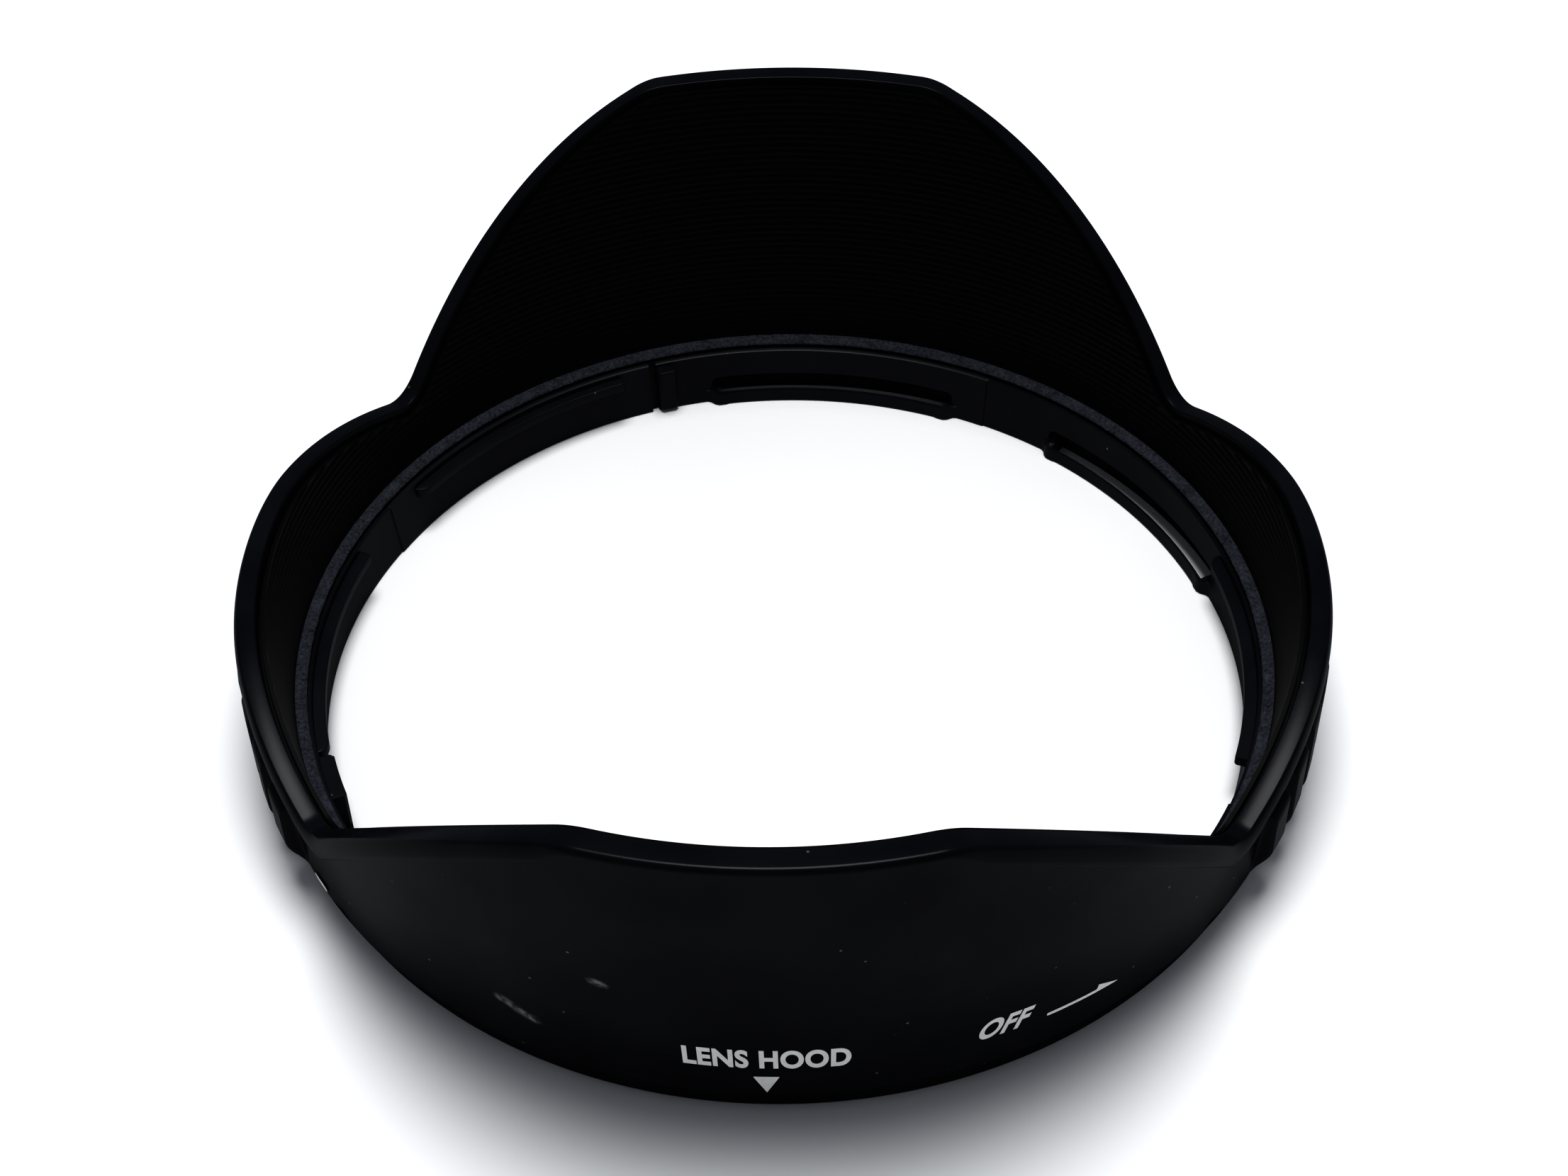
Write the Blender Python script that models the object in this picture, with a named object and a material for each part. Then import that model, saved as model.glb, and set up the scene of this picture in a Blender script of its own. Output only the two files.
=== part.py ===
"""Petal-shaped lens hood with a bayonet ring, for a wide-angle lens.

The frame has its origin at the centre of the resting face, +Z towards the subject and -Y
towards the index mark. Lengths below are millimetres; the meshes are built in metres.
"""
import math

import bmesh
import bpy

MM = 0.001

# Bayonet ring
SEAT_RADIUS = 41.6
SEAT_MOUTH_RADIUS = 42.3
RING_FOOT_RADIUS = 45.1
RING_FOOT_HEIGHT = 2.5
RING_NECK_RADIUS = 44.5
RING_HEIGHT = 5.6

# Click strips: thin bands freed from the ring by a long slot above them
SLOT_LOW = 1.4
SLOT_HIGH = 2.8
SLOT_DEPTH = 1.9
SLOT_CENTRES = (35.0, 84.5)
SLOT_SPAN = 34.4
CUTTER_MARGIN = 1.0
CUTTER_STEP = 4.0

# Bayonet lugs and rotation stops
LUG_INNER_RADIUS = 41.15
LUG_LOW = 4.0
LUG_HIGH = 5.0
LUG_CENTRES = {"side": 0.0, "diagonal": 132.0}
LUG_SPAN = 35.0
STOP_INNER_RADIUS = 40.95
STOP_LOW = 0.4
STOP_HIGH = 5.2
STOP_STEP = 1.3
STOPS = {  # azimuth of the middle, and span
    "rotation_stop_a": (108.1, 2.6),
    "rotation_stop_b": (288.1, 2.6),
    "rotation_stop_c": (202.0, 7.0),
}

# Light trap ring
TRAP_INNER_RADIUS = 42.6
TRAP_OUTER_RADIUS = 44.0
TRAP_LOW = 5.9
TRAP_INNER_HEIGHT = 6.2
TRAP_OUTER_HEIGHT = 6.6

# Petal shell: a cone cut by two pairs of leaning planes
SHELL_FOOT = 2.8
SHELL_FOOT_RADIUS = 46.04
CONE_SLOPE = 0.113
SHELL_WALL = 1.2
RIM_WALL = 2.1
RIM_DEPTH = 1.0
EDGE_BEVEL = 0.25
WALL_ROWS = (0.0, 0.01, 0.04, 0.5, 0.9)  # shares of the way from the foot to the rim
TALL_PETAL_HEIGHT = 34.62
TALL_CUT_OFFSET = 18.19
TALL_CUT_SLOPE = 0.85
SIDE_PETAL_HEIGHT = 16.57
SIDE_CUT_OFFSET = 18.69
SIDE_CUT_SLOPE = 1.706
VALLEY_BLEND = 2.7
CORNER_BLEND = 0.55

# Grip ribs on the two side petals
RIB_RADIUS = 47.5
RIB_COUNT = 12
RIB_PITCH = 5.25
RIB_TOP = 3.0
RIB_FLANK = 0.4
RIB_START = 0.03  # share of the way up at which a rib has begun

# Ribbed liner
LINER_LOW = 6.9
LINER_FOOT_WALL = 1.0
LINER_CREST_WALL = 0.35
LINER_CREST_DROP = 0.4

# Printed marks: a place is the azimuth and height of the middle, or of the arrow's tail
INK_GAP = 0.1
INK_THICKNESS = 0.12
TRIANGLE_PLACE = (-90.2, 4.7)
TRIANGLE_WIDTH = 2.0
TRIANGLE_HEIGHT = 2.5
TRIANGLE_BLUNT = 0.05
ARROW_PLACE = (-62.2, 7.2)
ARROW_LENGTH = 6.2
ARROW_LINE = 0.3
ARROW_STEP = 1.0
BARB_LENGTH = 1.6
BARB_RISE = 1.0
BARB_EDGE = 0.1
DASH_PLACE = (-145.4, 4.0)
DASH_LENGTH = 2.2
DASH_WIDTH = 0.8
DASH_END_ANGLES = (80, 60, 40, 20, 0)

CLEARANCE = 0.3
COLUMN_STEP = 2.5
PLAIN_STEP = 1.25
SHARP_ANGLE = 30

# Colours of the finishes: linear RGB, roughness, metallic
SATIN_BLACK = ((0.020, 0.020, 0.023), 0.48, 0.0)
MATTE_BLACK = ((0.008, 0.008, 0.010), 0.80, 0.0)
FLOCK_BLACK = ((0.030, 0.030, 0.034), 0.95, 0.0)
PRINT_WHITE = ((0.80, 0.80, 0.78), 0.55, 0.0)


def clear_scene():
    for old in list(bpy.data.objects):
        bpy.data.objects.remove(old, do_unlink=True)


def make_material(name, finish):
    colour, roughness, metallic = finish
    material = bpy.data.materials.new(name)
    material.use_nodes = True
    shader = material.node_tree.nodes["Principled BSDF"]
    shader.inputs["Base Color"].default_value = (*colour, 1.0)
    shader.inputs["Roughness"].default_value = roughness
    shader.inputs["Metallic"].default_value = metallic
    return material


def on_circle(radius, azimuth, height):
    """A point in metres, from a radius and height in millimetres and an azimuth in degrees."""
    angle = math.radians(azimuth)
    return (radius * math.cos(angle) * MM, radius * math.sin(angle) * MM, height * MM)


def finish_object(name, bm, material):
    """Point the faces out, shade the round surfaces smooth and link the object."""
    bmesh.ops.recalc_face_normals(bm, faces=bm.faces)
    mesh = bpy.data.meshes.new(name)
    bm.to_mesh(mesh)
    bm.free()
    mesh.shade_smooth()
    mesh.set_sharp_from_angle(angle=math.radians(SHARP_ANGLE))
    mesh.materials.append(material)
    piece = bpy.data.objects.new(name, mesh)
    bpy.context.scene.collection.objects.link(piece)
    return piece


def bridge(bm, first, second):
    """Join two equal closed rows of vertices with quads."""
    count = len(first)
    for i in range(count):
        j = (i + 1) % count
        bm.faces.new((first[i], first[j], second[j], second[i]))


def sweep(name, azimuths, profile, material, closed=True):
    """Carry a closed (radius, height) profile round the axis.

    profile(azimuth) returns the section there. A sweep that isn't closed gets a cap at each end.
    """
    bm = bmesh.new()
    rows = []
    for azimuth in azimuths:
        rows.append([bm.verts.new(on_circle(r, azimuth, z)) for r, z in profile(azimuth)])
    for first, second in zip(rows, rows[1:]):
        bridge(bm, first, second)
    if closed:
        bridge(bm, rows[-1], rows[0])
    else:
        bm.faces.new(rows[0])
        bm.faces.new(rows[-1])
    return finish_object(name, bm, material)


def spread(start, end, step):
    """Evenly spaced azimuths from start to end, both included, no further apart than step."""
    count = max(1, math.ceil((end - start) / step))
    return [start + (end - start) * i / count for i in range(count + 1)]


def cone_radius(height):
    return SHELL_FOOT_RADIUS + CONE_SLOPE * (height - SHELL_FOOT)


def cut_height(facing, offset, slope):
    """Height at which the cone meets a plane that leans out: facing * r = offset + slope * z."""
    base_radius = cone_radius(0.0)
    return (base_radius * facing - offset) / (slope - CONE_SLOPE * facing)


def smooth_min(a, b, blend):
    overlap = max(blend - abs(a - b), 0.0)
    return min(a, b) - overlap * overlap / (4.0 * blend)


def smooth_max(a, b, blend):
    return -smooth_min(-a, -b, blend)


def rim_height(azimuth):
    """The rim: two tall petals at +-Y, two low ones at +-X and a rounded valley between them."""
    angle = math.radians(azimuth)
    tall = cut_height(abs(math.sin(angle)), TALL_CUT_OFFSET, TALL_CUT_SLOPE)
    side = cut_height(abs(math.cos(angle)), SIDE_CUT_OFFSET, SIDE_CUT_SLOPE)
    tall = smooth_min(tall, TALL_PETAL_HEIGHT, CORNER_BLEND)
    side = smooth_min(side, SIDE_PETAL_HEIGHT, CORNER_BLEND)
    return smooth_max(tall, side, VALLEY_BLEND)


def rib_azimuths(middle):
    """Foot and top edges of every rib of the grip centred on an azimuth."""
    edges = []
    first = middle - RIB_PITCH * (RIB_COUNT - 1) / 2.0
    for i in range(RIB_COUNT):
        centre = first + RIB_PITCH * i
        half = RIB_TOP / 2.0
        edges.append((centre - half - RIB_FLANK, False))
        edges.append((centre - half, True))
        edges.append((centre + half, True))
        edges.append((centre + half + RIB_FLANK, False))
    return edges


def shell_columns():
    """Azimuths of the shell's columns, each with whether it runs along the top of a rib."""
    columns = []
    for middle in (0.0, 180.0):
        ribs = rib_azimuths(middle)
        columns += ribs
        last = ribs[-1][0]
        plain = spread(last, 2.0 * middle + 180.0 - last, PLAIN_STEP)
        columns += [(azimuth, False) for azimuth in plain[1:-1]]
    return columns


def shell_profile(azimuth, on_rib):
    """Section of the shell: outer wall up to the rim, rim face, lip and the pocket for the liner."""
    rim = rim_height(azimuth)
    section = []
    for share in WALL_ROWS:
        height = SHELL_FOOT + (rim - SHELL_FOOT) * share
        radius = cone_radius(height)
        if on_rib and share > RIB_START:
            radius = max(radius, RIB_RADIUS)
        section.append((radius, height))
    rim_radius = cone_radius(rim)
    lip_end = rim - RIM_DEPTH
    section.append((cone_radius(rim - EDGE_BEVEL), rim - EDGE_BEVEL))
    section.append((rim_radius - EDGE_BEVEL, rim))
    section.append((rim_radius - RIM_WALL, rim))
    section.append((cone_radius(lip_end) - RIM_WALL, lip_end))
    section.append((cone_radius(lip_end) - SHELL_WALL, lip_end))
    section.append((SHELL_FOOT_RADIUS - SHELL_WALL, SHELL_FOOT))
    return section


def make_shell(material):
    columns = dict(shell_columns())
    return sweep("petal_shell", list(columns), lambda a: shell_profile(a, columns[a]), material)


def liner_profile(azimuth):
    """Thin lining that hides behind the lip and rises to a crest a narrow groove inside it."""
    rim = rim_height(azimuth)
    shoulder = rim - RIM_DEPTH - CLEARANCE
    crest = rim - LINER_CREST_DROP
    back = SHELL_WALL + CLEARANCE
    groove = RIM_WALL + CLEARANCE
    foot_back = cone_radius(LINER_LOW) - back
    return [
        (foot_back, LINER_LOW),
        (cone_radius(shoulder) - back, shoulder),
        (cone_radius(shoulder) - groove, shoulder),
        (cone_radius(crest) - groove, crest),
        (cone_radius(crest) - groove - LINER_CREST_WALL, crest),
        (foot_back - LINER_FOOT_WALL, LINER_LOW),
    ]


def make_liner(material):
    azimuths = [azimuth for azimuth, _ in shell_columns()]
    return sweep("ribbed_liner", azimuths, liner_profile, material)


def make_light_trap(material):
    def profile(_):
        return [
            (TRAP_INNER_RADIUS, TRAP_LOW),
            (TRAP_OUTER_RADIUS, TRAP_LOW),
            (TRAP_OUTER_RADIUS, TRAP_OUTER_HEIGHT),
            (TRAP_INNER_RADIUS, TRAP_INNER_HEIGHT),
        ]

    return sweep("light_trap_ring", spread(0, 360, COLUMN_STEP)[:-1], profile, material)


def arc_block(name, middle, span, radii, heights, material, step=COLUMN_STEP):
    """A block bent round the axis, over an arc of span degrees centred on middle.

    radii gives its inner radius and its outer one at the lowest and the highest height.
    """
    inner, outer_low, outer_high = radii
    low, high = heights

    def profile(_):
        return [(inner, low), (outer_low, low), (outer_high, high), (inner, high)]

    azimuths = spread(middle - span / 2.0, middle + span / 2.0, step)
    return sweep(name, azimuths, profile, material, closed=False)


def seat_radius(height):
    """The ring's bore, which opens a little towards its top."""
    return SEAT_RADIUS + (SEAT_MOUTH_RADIUS - SEAT_RADIUS) * height / RING_HEIGHT


def on_seat(inner, heights):
    """Radii of a block that stands on the bore, with the clearance behind it."""
    return (inner, *(seat_radius(height) - CLEARANCE for height in heights))


def cut(piece, cutter):
    """Take one shape out of another; the cutter itself isn't part of the object."""
    cutter.hide_render = True
    cutter.display_type = "WIRE"
    boolean = piece.modifiers.new(cutter.name, "BOOLEAN")
    boolean.operation = "DIFFERENCE"
    boolean.object = cutter


def make_bayonet_ring(material):
    """A foot that shows under the shell, a neck inside it, and a slot behind each click strip."""
    def profile(_):
        return [
            (SEAT_RADIUS, 0.0),
            (RING_FOOT_RADIUS, 0.0),
            (RING_FOOT_RADIUS, RING_FOOT_HEIGHT),
            (RING_NECK_RADIUS, RING_FOOT_HEIGHT),
            (RING_NECK_RADIUS, RING_HEIGHT),
            (SEAT_MOUTH_RADIUS, RING_HEIGHT),
        ]

    ring = sweep("bayonet_ring", spread(0, 360, COLUMN_STEP)[:-1], profile, material)
    back = SEAT_RADIUS + SLOT_DEPTH
    radii = (SEAT_RADIUS - CUTTER_MARGIN, back, back)
    for turn in (0.0, 180.0):
        for centre in SLOT_CENTRES:
            name = "slot_cutter_%d" % (centre + turn)
            heights = (SLOT_LOW, SLOT_HIGH)
            cutter = arc_block(name, centre + turn, SLOT_SPAN, radii, heights, material, CUTTER_STEP)
            cut(ring, cutter)
    return ring


def make_lugs(material):
    """Two pairs of lugs, each pair half a turn apart, that hook behind the lens's flange."""
    heights = (LUG_LOW, LUG_HIGH)
    radii = on_seat(LUG_INNER_RADIUS, heights)
    for place, centre in LUG_CENTRES.items():
        for pair, turn in (("a", 0.0), ("b", 180.0)):
            name = "bayonet_lug_%s_%s" % (place, pair)
            arc_block(name, centre + turn, LUG_SPAN, radii, heights, material)


def make_stops(material):
    """Blocks on the bore that end the hood's turn on the lens."""
    heights = (STOP_LOW, STOP_HIGH)
    for name, (middle, span) in STOPS.items():
        radii = on_seat(STOP_INNER_RADIUS, heights)
        arc_block(name, middle, span, radii, heights, material, STOP_STEP)


def ink_plate(name, azimuth, height, sections, material):
    """A thin printed mark on the cone.

    sections lists (along, low, high): a distance round the cone from the azimuth, and the
    mark's lower and upper edge there, measured up from the height.
    """
    bm = bmesh.new()
    rows = []
    for along, low, high in sections:
        row = []
        for outset, rise in ((INK_GAP, low), (INK_GAP, high), (INK_GAP + INK_THICKNESS, high),
                             (INK_GAP + INK_THICKNESS, low)):
            radius = cone_radius(height + rise) + outset
            turn = math.degrees(along / cone_radius(height))
            row.append(bm.verts.new(on_circle(radius, azimuth + turn, height + rise)))
        rows.append(row)
    for first, second in zip(rows, rows[1:]):
        bridge(bm, first, second)
    bm.faces.new(rows[0])
    bm.faces.new(rows[-1])
    return finish_object(name, bm, material)


def triangle_sections():
    """A triangle that points down, with its corners slightly blunt."""
    half = TRIANGLE_WIDTH / 2.0
    top = TRIANGLE_HEIGHT / 2.0
    corner = top - TRIANGLE_BLUNT
    left = [(-half, corner, top), (-TRIANGLE_BLUNT, -top, top)]
    right = [(-along, low, high) for along, low, high in reversed(left)]
    return left + right


def arrow_sections():
    """A long line that ends in one barb on its upper side."""
    half = ARROW_LINE / 2.0
    shaft_end = ARROW_LENGTH - BARB_LENGTH
    sections = [(along, -half, half) for along in spread(0.0, shaft_end, ARROW_STEP)]
    sections.append((shaft_end + BARB_EDGE, -half, BARB_RISE))
    sections.append((ARROW_LENGTH, -half, half))
    return sections


def dash_sections():
    """A bar with round ends."""
    half = DASH_WIDTH / 2.0
    straight = DASH_LENGTH / 2.0 - half
    left = []
    for degrees in DASH_END_ANGLES:
        angle = math.radians(degrees)
        reach = half * math.cos(angle)
        left.append((-straight - half * math.sin(angle), -reach, reach))
    right = [(-along, low, high) for along, low, high in reversed(left)]
    return left + [(0.0, -half, half)] + right


def make_marks(material):
    ink_plate("index_triangle", *TRIANGLE_PLACE, triangle_sections(), material)
    ink_plate("direction_arrow", *ARROW_PLACE, arrow_sections(), material)
    ink_plate("alignment_dash", *DASH_PLACE, dash_sections(), material)


def build():
    clear_scene()
    satin = make_material("satin_black_moulding", SATIN_BLACK)
    matte = make_material("matte_black_lining", MATTE_BLACK)
    flock = make_material("flocked_black", FLOCK_BLACK)
    white = make_material("white_print", PRINT_WHITE)
    make_shell(satin)
    make_liner(matte)
    make_light_trap(flock)
    make_bayonet_ring(satin)
    make_lugs(satin)
    make_stops(satin)
    make_marks(white)


build()
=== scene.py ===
# %% [markdown]
# # A petal-shaped lens hood
#
# This file dresses a lens hood for a wide-angle lens. The hood is a short black cone with four
# petals: two tall ones and two low ones. A ring with a bayonet fastens it to the lens.
#
# The plain working model comes in first, as a fixed frame. It says how big every part is and where
# it sits. Each part is then made again here as a fine mesh, with its real edges, ribs and grain,
# and takes the place of the plain one.

# %% Load the frame
import math

import bmesh
import bpy
import numpy as np
from mathutils import Matrix, Vector


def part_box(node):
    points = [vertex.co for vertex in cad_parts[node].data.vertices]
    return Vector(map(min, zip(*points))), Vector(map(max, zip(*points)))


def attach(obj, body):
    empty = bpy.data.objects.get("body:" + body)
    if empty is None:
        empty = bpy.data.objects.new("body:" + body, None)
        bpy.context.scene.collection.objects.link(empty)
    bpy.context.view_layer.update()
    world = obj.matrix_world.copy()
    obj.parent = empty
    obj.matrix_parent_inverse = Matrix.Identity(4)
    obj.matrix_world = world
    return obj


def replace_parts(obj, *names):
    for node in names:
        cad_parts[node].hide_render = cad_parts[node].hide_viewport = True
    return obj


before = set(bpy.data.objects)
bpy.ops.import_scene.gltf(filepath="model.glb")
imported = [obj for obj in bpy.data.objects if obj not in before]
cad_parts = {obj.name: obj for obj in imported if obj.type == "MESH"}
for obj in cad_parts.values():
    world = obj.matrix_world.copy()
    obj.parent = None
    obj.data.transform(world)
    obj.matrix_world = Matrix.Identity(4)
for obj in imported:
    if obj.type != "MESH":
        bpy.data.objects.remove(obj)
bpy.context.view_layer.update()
MM = 0.001
BODY = "root"
print("parts in the frame:", ", ".join(sorted(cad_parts)))

# %% [markdown]
# ## Sizes read from the frame
#
# The hood stands on its bayonet ring, with its tall petals towards +Y and -Y. The near tall petal,
# at -Y, carries the printed marks. Heights and radii come from the boxes of the plain parts, turned
# into millimetres because every size of a moulding like this one is a few millimetres or less.

# %% Read the sizes
def lowest(node):
    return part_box(node)[0].z / MM


def highest(node):
    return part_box(node)[1].z / MM


def reach(node):
    """Largest radius of a part that goes all the way round."""
    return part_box(node)[1].x / MM


SHELL_FOOT = lowest("petal_shell")
TALL_PETAL = highest("petal_shell")
GRIP_MARGIN = 0.02      # keeps the tops of the grips just inside the frame's box
GRIP_RADIUS = reach("petal_shell") - GRIP_MARGIN
RING_TOP = highest("bayonet_ring")
RING_RADIUS = reach("bayonet_ring")
TRAP_TOP = highest("light_trap_ring")
TRAP_RADIUS = reach("light_trap_ring")
LUG_LOW, LUG_HIGH = lowest("bayonet_lug_side_a"), highest("bayonet_lug_side_a")
print("tall petals reach %.1f mm, the ring is %.1f mm across" % (TALL_PETAL, 2 * RING_RADIUS))

# %% [markdown]
# ## The cone and its rim
#
# The wall is a cone that opens a little towards the front. Its rim is what you get when you cut
# that cone with two pairs of leaning planes, one pair for each pair of petals, and round the
# valley where they meet. So the outline is a formula: the height at which a plane meets the cone,
# for each direction. `smooth_min` and `smooth_max` pick the lower or the higher of two heights
# and round the corner between them.

# %% The outline as a formula
FOOT_RADIUS = 46.04      # cone radius at its foot
CONE_SLOPE = 0.113       # growth in radius for each millimetre of height
TALL_CUT = (18.19, 0.85)     # offset and lean of the planes that cut the tall petals
SIDE_CUT = (18.69, 1.706)    # and of those that cut the low ones
SIDE_PETAL = 16.57
VALLEY_BLEND = 2.7
CORNER_BLEND = 0.55


def cone_radius(height):
    return FOOT_RADIUS + CONE_SLOPE * (height - SHELL_FOOT)


def cut_height(facing, cut):
    """Height where the cone meets a leaning plane, in a direction that faces it so squarely."""
    offset, lean = cut
    return (cone_radius(0.0) * facing - offset) / (lean - CONE_SLOPE * facing)


def smooth_min(a, b, blend):
    overlap = np.maximum(blend - np.abs(a - b), 0.0)
    return np.minimum(a, b) - overlap ** 2 / (4.0 * blend)


def smooth_max(a, b, blend):
    return -smooth_min(-a, -b, blend)


def smooth_step(value):
    """0 below 0, 1 above 1 and an even S between them."""
    share = np.clip(value, 0.0, 1.0)
    return share * share * (3.0 - 2.0 * share)


def rim_height(azimuth):
    turn = np.radians(azimuth)
    tall = smooth_min(cut_height(np.abs(np.sin(turn)), TALL_CUT), TALL_PETAL, CORNER_BLEND)
    side = smooth_min(cut_height(np.abs(np.cos(turn)), SIDE_CUT), SIDE_PETAL, CORNER_BLEND)
    return smooth_max(tall, side, VALLEY_BLEND)


def rim_stretch(azimuth):
    """How much longer a short way down the wall is than the same way square to the rim."""
    step = 0.05
    rise = rim_height(azimuth + step) - rim_height(azimuth - step)
    run = np.radians(2.0 * step) * cone_radius(rim_height(azimuth))
    return np.sqrt(1.0 + (rise / run) ** 2)


def apart(azimuth, middle):
    """Degrees from an azimuth to a direction, from -180 to 180."""
    return (azimuth - middle + 180.0) % 360.0 - 180.0


valley = rim_height(np.arange(30.0, 60.0)).min()
print("rim: %.1f mm at a tall petal, %.1f mm in a valley" % (rim_height(90.0), valley))

# %% [markdown]
# ## One tool for every round part
#
# Almost everything on the hood goes round one axis, so one function makes it: a closed outline of
# (radius, height) points is carried round a list of azimuths. Each radius or height may be one
# number, or one for each azimuth, and that is how a rim can rise and fall. numpy makes all the
# points at once, which stays quick at a thousand columns.

# %% Make a piece from points and faces
CRISP = 38.0          # edges that bend by more degrees than this stay crisp


def link_new(name, data):
    """A new object in the scene, from a mesh, a curve, a light or a camera."""
    thing = bpy.data.objects.new(name, data)
    bpy.context.scene.collection.objects.link(thing)
    return thing


def polar(radius, turn, height):
    """A point in metres, from millimetres and a turn in radians."""
    return radius * MM * math.cos(turn), radius * MM * math.sin(turn), height * MM


def tube_faces(rows, around):
    """Faces between rows of points that each go round a tube, and one face on each end."""
    faces = []
    for here in range(0, (rows - 1) * around, around):
        above = here + around
        for i in range(around):
            j = (i + 1) % around
            faces.append((here + i, here + j, above + j, above + i))
    faces.append(tuple(range(around)))
    faces.append(tuple(range((rows - 1) * around, rows * around)))
    return faces


def finish_piece(name, points, faces, material, sharp=CRISP):
    """A closed mesh piece that rides on the hood."""
    mesh = bpy.data.meshes.new(name)
    mesh.from_pydata(points, [], faces)
    work = bmesh.new()
    work.from_mesh(mesh)
    bmesh.ops.recalc_face_normals(work, faces=work.faces)
    work.to_mesh(mesh)
    work.free()
    mesh.shade_smooth()
    mesh.set_sharp_from_angle(angle=math.radians(sharp))
    mesh.materials.append(material)
    piece = link_new(name, mesh)
    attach(piece, BODY)
    print("%s: %d points" % (name, len(mesh.vertices)))
    return piece


print("pieces ride on the body", BODY)

# %% [markdown]
# The sweep has two small helpers: `even` spaces the columns, and `round_edge` gives the points of a
# rounded corner. A short block doesn't close into a ring, so its two ends get a face each.

# %% The sweep
def sweep(name, columns, outline, material, closed=True, sharp=CRISP):
    radii = np.array([np.broadcast_to(radius, columns.shape) for radius, _ in outline]).T * MM
    heights = np.array([np.broadcast_to(height, columns.shape) for _, height in outline]).T * MM
    turn = np.radians(columns)[:, None]
    points = np.stack([radii * np.cos(turn), radii * np.sin(turn), heights], axis=-1)
    count, around = radii.shape
    first = np.arange(count if closed else count - 1)[:, None]
    here = np.arange(around)[None, :]
    after = (here + 1) % around
    second = (first + 1) % count
    corners = [first * around + here, first * around + after, second * around + after, second * around + here]
    faces = np.stack(corners, axis=-1).reshape(-1, 4).tolist()
    if not closed:
        faces.append(list(range(around)))
        faces.append(list(range((count - 1) * around, count * around)))
    return finish_piece(name, points.reshape(-1, 3).tolist(), faces, material, sharp)


def even(start, end, step):
    return np.linspace(start, end, max(2, math.ceil((end - start) / step - 1e-6) + 1))


def round_edge(centre, radii, start, end, steps=5):
    """Points on an ellipse about (radius, height), from one angle to another in degrees."""
    (radius, height), (across, up) = centre, radii
    turns = np.radians(np.linspace(start, end, steps))
    return [(radius + across * math.cos(turn), height + up * math.sin(turn)) for turn in turns]


print("sweep ready")

# %% [markdown]
# ## Materials
#
# The hood is ABS, a hard plastic, moulded in black. The steel mould was spark-eroded, which leaves
# a fine even grain, so the plastic looks satin rather than shiny. A helper turns the sRGB colours
# that people write into the linear ones that the shader needs, and one more adds a node with its
# settings and its links.

# %% Helpers for materials
def linear(colour):
    """An sRGB hex colour such as #202020 as linear RGBA."""
    channels = [int(colour[i:i + 2], 16) / 255.0 for i in (1, 3, 5)]
    return (*[c / 12.92 if c <= 0.04045 else ((c + 0.055) / 1.055) ** 2.4 for c in channels], 1.0)


def per_mm(size):
    """Texture scale that gives features of a size in millimetres."""
    return 1.0 / (size * MM)


def add_node(material, kind, inputs=(), **settings):
    """Add a node. inputs maps a socket's name or number to a value or to another node's output."""
    tree = material.node_tree
    node = tree.nodes.new(kind)
    for key, value in settings.items():
        setattr(node, key, value)
    for key, value in dict(inputs).items():
        if isinstance(value, bpy.types.NodeSocket):
            tree.links.new(value, node.inputs[key])
        else:
            node.inputs[key].default_value = value
    return node


def new_material(name):
    """An empty material, and the coordinates of a point on the object that wears it."""
    material = bpy.data.materials.new(name)
    material.use_nodes = True
    material.node_tree.nodes.clear()
    return material, add_node(material, "ShaderNodeTexCoord").outputs["Object"]


def close_material(material, shader):
    output = add_node(material, "ShaderNodeOutputMaterial")
    material.node_tree.links.new(shader.outputs[0], output.inputs[0])
    return material


print("white is", linear("#ffffff"))

# %% [markdown]
# ### Moulded ABS
#
# ABS has an index of refraction of about 1.53. The spark-eroded grain is some 0.05 mm across, too
# fine to show from here, so it is drawn at 0.22 mm. It breaks up most of the reflection: only about
# a quarter of the surface is smooth enough to shine. So the shader has a matt black base, and its
# sheen is a thin coat that covers only that share.
#
# A second, broad pattern makes the black a little uneven, as handling does. The few light scuffs on
# the near petal are places where the grain was rubbed flat and grey, and a few specks of dust lie
# about.

# %% Wear on the ABS
DUST_SPACING = 1.9   # cells of this size hold a speck each, and most cells are left out
SMEAR = 0.7          # size of the blots within a scuff
SCUFFS = [           # azimuth and height of a scuff's two ends, and its width
    ((-105.6, 17.3), (-104.7, 17.0), 0.7),
    ((-116.2, 9.7), (-113.0, 8.3), 0.9),
]


def on_cone(azimuth, height, outset=0.0):
    """A point on the outside of the cone, in metres."""
    return Vector(polar(cone_radius(height) + outset, math.radians(azimuth), height))


def scuff_mask(material, place, start, end, width):
    """1 along a short rubbed line on the wall and 0 away from it."""
    a, b = on_cone(*start), on_cone(*end)
    along = b - a
    offset = add_node(material, "ShaderNodeVectorMath", {0: place, 1: a}, operation="SUBTRACT")
    share = add_node(material, "ShaderNodeVectorMath",
                     {0: offset.outputs[0], 1: along / along.length_squared}, operation="DOT_PRODUCT")
    held = add_node(material, "ShaderNodeClamp", {0: share.outputs["Value"]})
    nearest = add_node(material, "ShaderNodeVectorMath", {0: along, "Scale": held.outputs[0]},
                       operation="SCALE")
    gap = add_node(material, "ShaderNodeVectorMath", {0: offset.outputs[0], 1: nearest.outputs[0]},
                   operation="DISTANCE")
    return add_node(material, "ShaderNodeMapRange",
                    {0: gap.outputs["Value"], 1: 0.0, 2: width * MM, 3: 1.0, 4: 0.0},
                    interpolation_type="SMOOTHSTEP").outputs[0]


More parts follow.
